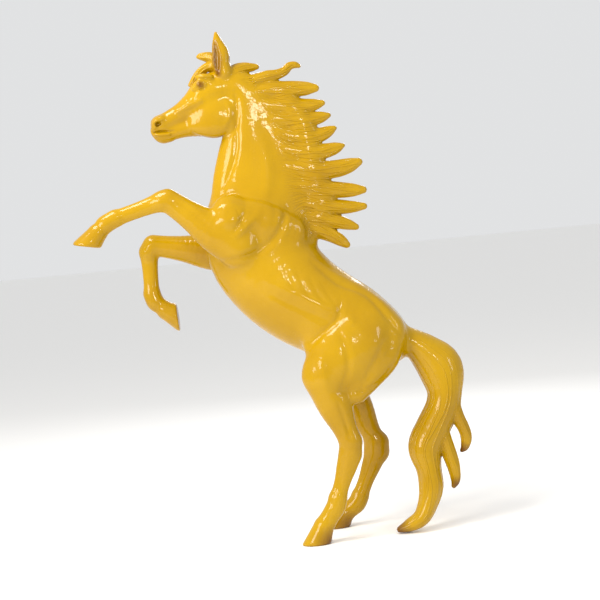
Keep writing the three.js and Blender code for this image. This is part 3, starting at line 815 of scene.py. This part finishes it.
LEAST_SQUARE = 0.05  # of the field's slope, where it is nearly flat
LONGEST_MOVE = 1.5  # units, in one round


def pulled(vertices, rounds=2, probe=0.25):
    """The vertices moved onto the surface along the field's gradient, and its normals there."""
    for _ in range(rounds):
        here = field(vertices)
        slope = np.stack(
            [(field(vertices + probe * axis) - here) / probe for axis in np.eye(3)], axis=1
        )
        steep = np.maximum((slope * slope).sum(axis=1), LEAST_SQUARE)
        move = slope * (here / steep)[:, None]
        length = np.linalg.norm(move, axis=1)[:, None]
        vertices = vertices - move * np.minimum(1, LONGEST_MOVE / np.maximum(length, TINY))
    normals = slope / np.maximum(np.linalg.norm(slope, axis=1), TINY)[:, None]
    return vertices, normals


DARK_EDGE = 1.25  # radii from a dark place's middle to where it ends


# Places in the figure, as [x, y, z, radius], that are painted darker: painted shade in each ear's
# hollow, in each nostril and at each eye, and a darker brown at the soles of the hooves and the tips of
# the tail.
def shade_and_dark_end_places():
    ear = units(EAR_OFFSET)
    half = units(HEAD_HALF_WIDTH)
    # The tips of the tail and of its two locks, painted darker
    places = [[170, -52, 4, 26], [289, -34, 84, 16], [308, -24, 148, 16]]
    for side in SIDES:
        # Painted shade in each ear's hollow, then in each nostril and at each eye
        places += [[-97, side * ear * 1.45, z, 13 - abs(z - 945) / 6] for z in range(922, 984, 6)]
        places += [[-223, side * half * 0.66, 836, 5], [-132, side * half * 1.1, 903, 8.5]]
    # The soles of the four hooves, painted darker
    places += [[30, -76, 0, 34], [64, 72, 0, 34], [-395, -52, 592, 20], [-226, 52, 458, 20]]
    return np.array(places, float)


def shade_and_dark_ends(points):
    """How dark the painted shade and the darker hoof soles and tail tips are at points in units, from 0
    to 1.
    """
    dark = np.zeros(len(points))
    for x, y, z, radius in shade_and_dark_end_places():
        away = np.linalg.norm(points - (x, y, z), axis=1) / radius
        dark = np.maximum(dark, np.clip(DARK_EDGE - away, 0, 1))
    return dark


def to_frame(points):
    return np.asarray(points) * METRES + np.array(PLACE)


def linear(hex_colour):
    """An sRGB hex colour as linear RGBA."""
    channels = [int(hex_colour[i : i + 2], 16) / 255 for i in (1, 3, 5)]
    return (*[c / 12.92 if c <= 0.04045 else ((c + 0.055) / 1.055) ** 2.4 for c in channels], 1)


def add_node(tree, kind, settings=None, inputs=None, links=None):
    """A node of a tree with its settings, input values and links from other nodes' sockets."""
    node = tree.nodes.new(kind)
    for name, value in (settings or {}).items():
        setattr(node, name, value)
    for name, value in (inputs or {}).items():
        node.inputs[name].default_value = value
    for name, socket in (links or {}).items():
        tree.links.new(socket, node.inputs[name])
    return node


ENAMEL_NAME = "golden enamel on resin"
SHADED_YELLOW = "#9F7900"
# Colour of the painted shade in the ear hollows, nostrils and eyes, and of the darker hoof soles and
# tail tips
SHADE_AND_END_BROWN = "#5E3403"
SMUDGE_SIZE = 0.12  # metres, patches of duller gloss
WAVE_SIZE = 0.085  # metres, the sanding's slow waves
RIPPLE_SIZE = 0.04  # metres, runs and ripples in the clear coat, which tear the highlights
RIPPLE_HEIGHT = 0.0015  # metres
PEEL_SIZE = 0.004  # metres, orange peel, drawn about twice as coarse as it is so that it shows
PEEL_HEIGHT = 0.00005  # metres
MIX_FACTOR, MIX_FIRST, MIX_SECOND, MIX_RESULT = 0, 6, 7, 2  # sockets of a mix of colours


def noise(tree, place, size, detail, roughness):
    """Noise over the piece, with its largest grain of a size in metres."""
    node = add_node(
        tree,
        "ShaderNodeTexNoise",
        inputs={"Scale": 1 / size, "Detail": detail, "Roughness": roughness},
        links={"Vector": place},
    )
    return node.outputs["Fac"]


def bump(tree, distance, links):
    """The normal of a surface that rises by the linked height times a distance in metres."""
    node = add_node(
        tree, "ShaderNodeBump", inputs={"Strength": 1, "Distance": distance}, links=links
    )
    return node.outputs["Normal"]


def baked_enamel(finish):
    """Two-pack enamel sprayed over glass-fibre resin and polished: a deep golden yellow under a
    clear hard gloss, so it mirrors the sky in crisp patches, with faint orange peel and the slow
    unevenness of a surface that was sanded by hand."""
    material = bpy.data.materials.new(ENAMEL_NAME)
    material.use_nodes = True
    tree = material.node_tree
    shader = tree.nodes["Principled BSDF"]
    place = add_node(tree, "ShaderNodeTexCoord").outputs["Object"]

    drift = noise(tree, place, finish.drift_size, 3, 0.5)
    tones = add_node(tree, "ShaderNodeValToRGB", links={"Fac": drift})
    tones.color_ramp.elements[0].position = 0.3
    tones.color_ramp.elements[0].color = linear(SHADED_YELLOW)
    tones.color_ramp.elements[1].position = 0.7
    tones.color_ramp.elements[1].color = (*finish.colour, 1)
    # Painted shade in the ear hollows, nostrils and eyes, and a darker brown at the hoof soles and the
    # tail's tips, mixed into the colour
    shade_and_end_mask = add_node(tree, "ShaderNodeAttribute", {"attribute_name": "dark"})
    colour = add_node(
        tree,
        "ShaderNodeMix",
        {"data_type": "RGBA"},
        {MIX_SECOND: linear(SHADE_AND_END_BROWN)},
        {MIX_FACTOR: shade_and_end_mask.outputs["Fac"], MIX_FIRST: tones.outputs["Color"]},
    )
    tree.links.new(colour.outputs[MIX_RESULT], shader.inputs["Base Color"])

    gloss = add_node(
        tree,
        "ShaderNodeMapRange",
        inputs={"From Min": 0.35, "From Max": 0.75, "To Min": 0.2, "To Max": 0.34},
        links={"Value": noise(tree, place, SMUDGE_SIZE, 4, 0.6)},
    )
    tree.links.new(gloss.outputs["Result"], shader.inputs["Roughness"])

    waves = noise(tree, place, WAVE_SIZE, 3, 0.5)
    peel = noise(tree, place, PEEL_SIZE, 1, 0.5)
    slow = bump(tree, finish.wave_height, {"Height": waves})
    fine = bump(tree, PEEL_HEIGHT, {"Height": peel, "Normal": slow})
    tree.links.new(fine, shader.inputs["Normal"])
    ripples = noise(tree, place, RIPPLE_SIZE, 3, 0.6)
    ragged = bump(tree, RIPPLE_HEIGHT, {"Height": ripples, "Normal": slow})
    tree.links.new(ragged, shader.inputs["Coat Normal"])
    for name, value in (
        ("IOR", 1.5),
        ("Specular IOR Level", 0.08),
        ("Coat Weight", 0.45),
        ("Coat Roughness", 0.045),
        ("Coat IOR", 1.5),
    ):
        shader.inputs[name].default_value = value
    return material


def added(name, data):
    """A new object, in the scene."""
    made = bpy.data.objects.new(name, data)
    bpy.context.scene.collection.objects.link(made)
    return made


def enamel(context):
    return bpy.data.materials.get(ENAMEL_NAME) or baked_enamel(context.scene.horse_enamel)


# Stores on each vertex the painted shade of the ear hollows, nostrils and eyes, and the darker hoof
# soles and tail tips
def add_shade_and_dark_ends(mesh):
    points = np.empty(len(mesh.vertices) * 3)
    mesh.vertices.foreach_get("co", points)
    values = shade_and_dark_ends((points.reshape(-1, 3) - np.array(PLACE)) / METRES)
    mesh.attributes.new("dark", "FLOAT", "POINT").data.foreach_set("value", values.astype(np.float32))


def stood_on_floor(mesh):
    """The mesh cut flat at height zero, as the hind soles stand on the floor."""
    shape = bmesh.new()
    shape.from_mesh(mesh)
    cut = bmesh.ops.bisect_plane(
        shape,
        geom=shape.verts[:] + shape.edges[:] + shape.faces[:],
        plane_co=(0, 0, 0),
        plane_no=(0, 0, 1),
        clear_inner=True,
    )["geom_cut"]
    rim = [e for e in cut if isinstance(e, bmesh.types.BMEdge) and e.is_boundary]
    bmesh.ops.holes_fill(shape, edges=rim, sides=0)
    bmesh.ops.triangulate(shape, faces=[f for f in shape.faces if len(f.verts) > 4])
    bmesh.ops.recalc_face_normals(shape, faces=shape.faces[:])
    shape.to_mesh(mesh)
    shape.free()


def length(name, description, default, least):
    """A slider for a length in metres."""
    return FloatProperty(
        name=name,
        description=description,
        default=default,
        min=least,
        subtype="DISTANCE",
        unit="LENGTH",
    )


def tint(name, description, default):
    """A swatch for a colour."""
    return FloatVectorProperty(
        name=name,
        description=description,
        subtype="COLOR",
        size=3,
        min=0,
        max=1,
        default=linear(default)[:3],
    )


class SizesOfHorse(bpy.types.PropertyGroup):
    coarse_step: length(
        "Surface step", "Spacing of the grid that finds the surface of the body", 0.0093, 0.003
    )
    fine_step: length("Head step", "Spacing of the grid over the head", 0.0046, 0.002)
    ridge_radius: length(
        "Hair ridge", "Radius of the carved ridges of the mane and the tail", 0.0055, 0.001
    )
    ridge_sides: IntProperty(
        name="Ridge sides",
        description="Sides of each ridge's round section",
        default=6,
        min=4,
        max=16,
    )


class FinishOfHorse(bpy.types.PropertyGroup):
    colour: tint("Enamel", "Colour of the enamel in full light", "#B48D00")
    drift_size: length(
        "Colour drift",
        "Size of the slow changes of tone where the spray lies thicker",
        0.35,
        0.02,
    )
    wave_height: length(
        "Hand-finished waves",
        "Height of the slow waves that break up the reflections",
        0.0022,
        0,
    )


class StageOfHorse(bpy.types.PropertyGroup):
    floor_colour: tint("Floor", "Colour of the plain floor and backdrop", "#FAF9F7")
    sky_strength: FloatProperty(
        name="Room light",
        description="Strength of the even light all round",
        default=0.82,
        min=0,
    )


HEAD_SPANS = ((-246, -72), (-40, 40), (796, 1010))  # units of X, Y and Z, where the grid is fine


class HORSE_OT_body(bpy.types.Operator):
    """Make the horse's body, from the field of its swept forms"""

    bl_idname = "horse.body"
    bl_label = "Body"

    def execute(self, context):
        sizes = context.scene.horse_sizes
        coarse, fine = sizes.coarse_step / METRES, sizes.fine_step / METRES
        low = np.min([shape["low"] for shape in forms], axis=0) - 2 * coarse
        high = np.max([shape["high"] for shape in forms], axis=0) + 2 * coarse
        lines = [
            grid_lines(low[0], high[0], coarse, fine, HEAD_SPANS[0]),
            grid_lines(low[1], high[1], coarse, (coarse + fine) / 2, HEAD_SPANS[1]),
            grid_lines(low[2], high[2], coarse, fine, HEAD_SPANS[2]),
        ]
        vertices, quads = net(lines)
        vertices = modelled(*pulled(vertices))
        mesh = bpy.data.meshes.new("horse_body")
        mesh.from_pydata(to_frame(vertices).tolist(), [], quads.tolist())
        mesh.update()
        stood_on_floor(mesh)
        add_shade_and_dark_ends(mesh)
        mesh.shade_smooth()
        mesh.materials.append(enamel(context))
        body = added("horse_body", mesh)
        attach(body, "root")
        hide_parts("horse")
        return {"FINISHED"}


# Ridges all round a lock. They weave, start one after another and thin out at both ends.
RIDGE_STEPS = 6  # between two stations
RIDGE_TURNS = 1.6  # weaves along a lock
RIDGE_LAG = 0.37  # of a weave, from one ridge to the next
RIDGE_START = 0.08  # share of the lock before the first start
RIDGE_STAGGER = 0.1  # share of the lock that the starts are spread over
RIDGE_ENDS = (0.12, 0.95)


def hair_paths():
    """Paths of the carved ridges: rows of places and of thicknesses, from root to tip."""
    paths = mane_strands()
    for stations, count, wave in round_locks():
        share = np.linspace(0, 1, RIDGE_STEPS * (len(stations) - 1) + 1)
        rows, out = framed(stations, share)
        for n in range(count):
            ripple = wave * np.sin(2 * math.pi * (RIDGE_TURNS * share + RIDGE_LAG * n)) * share
            angle = 2 * math.pi * (n + 0.5) / count + ripple
            places = around(rows, out, angle)
            begin = RIDGE_START + RIDGE_STAGGER * ((n * 5) % 7) / 7
            kept = share >= begin
            thin = np.sin(np.clip((share - begin) / (1 - begin), *RIDGE_ENDS) * math.pi) ** 0.4
            paths.append((places[kept], thin[kept]))
    return paths


def framed(stations, shares):
    """Stations of a lock at the given shares, and the way out of its upper edge at each."""
    rows = np.array([along(stations, share) for share in shares])
    way = np.gradient(rows[:, :3], axis=0)
    way /= np.linalg.norm(way, axis=1)[:, None]
    return rows, np.stack([-way[:, 2], np.zeros(len(way)), way[:, 0]], axis=1)


def around(rows, out, angle):
    """Places on a lock's surface, by the angle around its section from the upper edge."""
    depth, width = rows[:, 3] * np.cos(angle), rows[:, 4] * np.sin(angle)
    return rows[:, :3] + out * depth[:, None] + np.array([0, 1, 0]) * width[:, None]


# Ridges of the mane, on each side of each lock
STRANDS_OF_LOCK = 9
STRAND_STEPS = 30
STRAND_SHARES = np.array([0.12, 0.34, 0.55, 0.75, 0.9, 0.98])  # of the lock, where they are held
STRAND_WEAVE = 0.22  # radians around the lock
STRAND_TURNS = 0.9  # weaves along the lock
STRAND_LAG = 0.31  # of a weave, from one strand to the next
LOCK_LAG = 0.17  # of a weave, from one lock to the next
STRAND_FAN = (0.08, 0.84)  # half turns around the lock: the first strand, and the fan of them all
MANE_EDGE_DEPTH = 30  # units from the middle plane


def mane_strands():
    """Ridges that leave the line between neck and mane and run together to each lock's tip."""
    locks = [CURLED_LOCK] + [lock_stations(lock, rank) for rank, lock in enumerate(LOCKS)]
    steps = np.linspace(0, 1, STRAND_STEPS)
    thin = np.sin(np.clip(0.1 + 0.86 * steps, 0, 1) * math.pi) ** 0.5
    paths = []
    for side in SIDES:
        for rank, stations in enumerate(locks):
            rows, out = framed(stations, STRAND_SHARES)
            for n in range(STRANDS_OF_LOCK):
                part = (n + 0.5) / STRANDS_OF_LOCK
                x, z = along(MANE_EDGE, (rank + part) / len(locks))
                turns = STRAND_TURNS * STRAND_SHARES + STRAND_LAG * n + LOCK_LAG * rank
                weave = STRAND_WEAVE * np.sin(2 * math.pi * turns)
                angle = side * (math.pi * (STRAND_FAN[0] + STRAND_FAN[1] * part) + weave)
                held = [[x, side * MANE_EDGE_DEPTH, z], *around(rows, out, angle).tolist()]
                places = np.array([along(held, step) for step in steps])
                paths.append((places, thin))
    return paths


def round_locks():
    """Each lock that is ridged all round, as (stations, number of ridges, how far they weave)."""
    locks = [(stations, 8, 0.2) for stations in (FORELOCK_TOP, FORELOCK_FRONT, EAR_TUFT)]
    locks += [(TAIL_STEM, 18, 0.25), (TAIL_INNER_LOCK, 8, 0.2), (TAIL_OUTER_LOCK, 8, 0.2)]
    return locks


def ridge_nodes():
    """Paths to ridges: each path gets a round section, thick in its middle and thin at its ends."""
    tree = bpy.data.node_groups.new("hair ridges", "GeometryNodeTree")
    for name, way, kind in (
        ("Paths", "INPUT", "Geometry"),
        ("Ridge Radius", "INPUT", "Float"),
        ("Ridge Sides", "INPUT", "Int"),
        ("Enamel", "INPUT", "Material"),
        ("Ridges", "OUTPUT", "Geometry"),
    ):
        tree.interface.new_socket(name, in_out=way, socket_type=f"NodeSocket{kind}")
    given = add_node(tree, "NodeGroupInput").outputs
    curve = add_node(tree, "GeometryNodeMeshToCurve", links={"Mesh": given["Paths"]})
    thickness = add_node(tree, "GeometryNodeInputNamedAttribute", inputs={"Name": "thickness"})
    section = add_node(
        tree,
        "GeometryNodeCurvePrimitiveCircle",
        links={"Resolution": given["Ridge Sides"], "Radius": given["Ridge Radius"]},
    )
    sized = add_node(
        tree,
        "GeometryNodeSetCurveRadius",
        links={"Curve": curve.outputs["Curve"], "Radius": thickness.outputs["Attribute"]},
    )
    swept = add_node(
        tree,
        "GeometryNodeCurveToMesh",
        inputs={"Fill Caps": True},
        links={"Curve": sized.outputs["Curve"], "Profile Curve": section.outputs["Curve"]},
    )
    if "Scale" in swept.inputs:
        radius = add_node(tree, "GeometryNodeInputNamedAttribute", inputs={"Name": "thickness"})
        tree.links.new(radius.outputs["Attribute"], swept.inputs["Scale"])
    smooth = add_node(tree, "GeometryNodeSetShadeSmooth", links={"Geometry": swept.outputs["Mesh"]})
    real = add_node(
        tree, "GeometryNodeRealizeInstances", links={"Geometry": smooth.outputs["Geometry"]}
    )
    painted = add_node(
        tree,
        "GeometryNodeSetMaterial",
        links={"Geometry": real.outputs["Geometry"], "Material": given["Enamel"]},
    )
    add_node(tree, "NodeGroupOutput", links={"Ridges": painted.outputs["Geometry"]})
    return tree


def give_inputs(modifier, values):
    """Set a node group's inputs on a modifier by the identifiers of their sockets."""
    for item in modifier.node_group.interface.items_tree:
        if item.item_type == "SOCKET" and item.in_out == "INPUT" and item.name in values:
            modifier[item.identifier] = values[item.name]


RIDGE_REACH = 0.035  # metres, the furthest that a path may be from the body
RIDGE_SUNK = 0.45  # share of a ridge's radius that its middle lies below the surface


class HORSE_OT_hair(bpy.types.Operator):
    """Lay the carved ridges of hair along the locks of the mane and the tail"""

    bl_idname = "horse.hair"
    bl_label = "Carved hair"

    def execute(self, context):
        sizes = context.scene.horse_sizes
        body = bpy.data.objects["horse_body"].data
        surface = BVHTree.FromPolygons(
            [v.co for v in body.vertices], [p.vertices for p in body.polygons]
        )
        points, edges, thickness = [], [], []
        for places, thin in hair_paths():
            first = len(points)
            for place, share in zip(to_frame(places), thin):
                spot, normal, _, away = surface.find_nearest(Vector(place))
                if away > RIDGE_REACH or spot.z < 2 * sizes.ridge_radius:
                    continue
                points.append(spot - normal * sizes.ridge_radius * RIDGE_SUNK)
                thickness.append(share)
            edges += [(i, i + 1) for i in range(first, len(points) - 1)]
        lines = bpy.data.meshes.new("hair paths")
        lines.from_pydata(points, edges, [])
        lines.attributes.new("thickness", "FLOAT", "POINT").data.foreach_set("value", thickness)
        strands = added("hair paths", lines)
        modifier = strands.modifiers.new("ridges", "NODES")
        modifier.node_group = ridge_nodes()
        give_inputs(
            modifier,
            {
                "Ridge Radius": sizes.ridge_radius,
                "Ridge Sides": sizes.ridge_sides,
                "Enamel": enamel(context),
            },
        )
        context.view_layer.update()
        shown = strands.evaluated_get(context.evaluated_depsgraph_get())
        mesh = bpy.data.meshes.new_from_object(shown)
        mesh.name = "carved_hair"
        if not mesh.polygons:
            raise RuntimeError("the hair ridges came out empty")
        bpy.data.objects.remove(strands)
        add_shade_and_dark_ends(mesh)
        hair = added("carved_hair", mesh)
        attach(hair, "root")
        return {"FINISHED"}


# The camera, in units of the figure: worked out from the perspective of the four feet.
CAMERA_DISTANCE = 2966
CAMERA_HEIGHT = 593.5
CAMERA_ACROSS = 20
CAMERA_DOWN = math.radians(2.41)
CAMERA_ROLL = math.radians(5.5)
FOCAL_LENGTH = 90.71  # millimetres
SENSOR_WIDTH = 36  # millimetres

# The soft lights: their names, places, sizes in metres, watts and colours
LIGHTS_AIM = (0, 0, 1.2)
PANELS = [
    ("sky panel", (-2.0, -1.6, 5.0), (2.0, 1.5), 170, "#FFFAF2"),
    ("front panel", (-4.2, -4.6, 3.0), (2.4, 2.4), 230, "#FFF6EA"),
    ("near panel", (1.1, -5.8, 2.6), (0.7, 0.7), 45, "#FFF8EC"),
    ("side panel", (4.8, -3.4, 2.2), (0.7, 2), 40, "#F3F7FF"),
    ("rear panel", (1.0, 4.6, 3.4), (2.4, 1.2), 60, "#FFFFFF"),
]
ROOM_COLOUR = "#F6F7F8"
FLOOR_REACH = 120  # metres from the middle to each side
FLOOR_CORNERS = ((-1, -1), (1, -1), (1, 1), (-1, 1))


def soft_box(name, place, size, power, colour):
    light = bpy.data.lights.new(name, "AREA")
    light.shape = "RECTANGLE"
    light.size, light.size_y = size
    light.energy = power
    light.color = linear(colour)[:3]
    lamp = added(name, light)
    lamp.location = place
    way = Vector(LIGHTS_AIM) - Vector(place)
    lamp.rotation_euler = way.to_track_quat("-Z", "Y").to_euler()


class HORSE_OT_stage(bpy.types.Operator):
    """Set up the pale floor, the soft lights and the camera"""

    bl_idname = "horse.stage"
    bl_label = "Stage"

    def execute(self, context):
        stage = context.scene.horse_stage
        floor_mesh = bpy.data.meshes.new("floor")
        corners = [(x * FLOOR_REACH, y * FLOOR_REACH, 0) for x, y in FLOOR_CORNERS]
        floor_mesh.from_pydata(corners, [], [(0, 1, 2, 3)])
        floor = added("floor", floor_mesh)
        paper = bpy.data.materials.new("matt white paper")
        paper.use_nodes = True
        shader = paper.node_tree.nodes["Principled BSDF"]
        shader.inputs["Base Color"].default_value = (*stage.floor_colour, 1)
        shader.inputs["Roughness"].default_value = 0.9
        floor_mesh.materials.append(paper)

        world = bpy.data.worlds.new("even room light")
        world.use_nodes = True
        background = world.node_tree.nodes["Background"]
        background.inputs["Color"].default_value = linear(ROOM_COLOUR)
        background.inputs["Strength"].default_value = stage.sky_strength
        context.scene.world = world
        context.scene.view_settings.view_transform = "Standard"

        for panel in PANELS:
            soft_box(*panel)

        camera = bpy.data.cameras.new("camera")
        camera.lens = FOCAL_LENGTH
        camera.sensor_width = SENSOR_WIDTH
        eye = added("camera", camera)
        place = Vector((CAMERA_ACROSS, -CAMERA_DISTANCE, CAMERA_HEIGHT)) * METRES + PLACE
        tilt = Matrix.Rotation(math.pi / 2 - CAMERA_DOWN, 4, "X")
        eye.matrix_world = Matrix.Translation(place) @ tilt @ Matrix.Rotation(-CAMERA_ROLL, 4, "Z")
        context.scene.camera = eye
        return {"FINISHED"}


class HORSE_PT_panel(bpy.types.Panel):
    """Lists the horse's pieces and sizes"""

    bl_idname = "HORSE_PT_panel"
    bl_label = "Rearing horse"
    bl_space_type = "VIEW_3D"
    bl_region_type = "UI"
    bl_category = "Horse"

    def draw(self, context):
        scene = context.scene
        for group in (scene.horse_sizes, scene.horse_enamel, scene.horse_stage):
            for name in group.__annotations__:
                self.layout.prop(group, name)
        for operator in (HORSE_OT_body, HORSE_OT_hair, HORSE_OT_stage):
            self.layout.operator(operator.bl_idname)


CLASSES = (
    SizesOfHorse,
    FinishOfHorse,
    StageOfHorse,
    HORSE_OT_body,
    HORSE_OT_hair,
    HORSE_OT_stage,
    HORSE_PT_panel,
)


def register():
    for cls in CLASSES:
        bpy.utils.register_class(cls)
    bpy.types.Scene.horse_sizes = PointerProperty(type=SizesOfHorse)
    bpy.types.Scene.horse_enamel = PointerProperty(type=FinishOfHorse)
    bpy.types.Scene.horse_stage = PointerProperty(type=StageOfHorse)


def unregister():
    del bpy.types.Scene.horse_stage
    del bpy.types.Scene.horse_enamel
    del bpy.types.Scene.horse_sizes
    for cls in reversed(CLASSES):
        bpy.utils.unregister_class(cls)


def main():
    register()
    bpy.ops.horse.body()
    bpy.ops.horse.hair()
    bpy.ops.horse.stage()


if __name__ == "__main__":
    main()
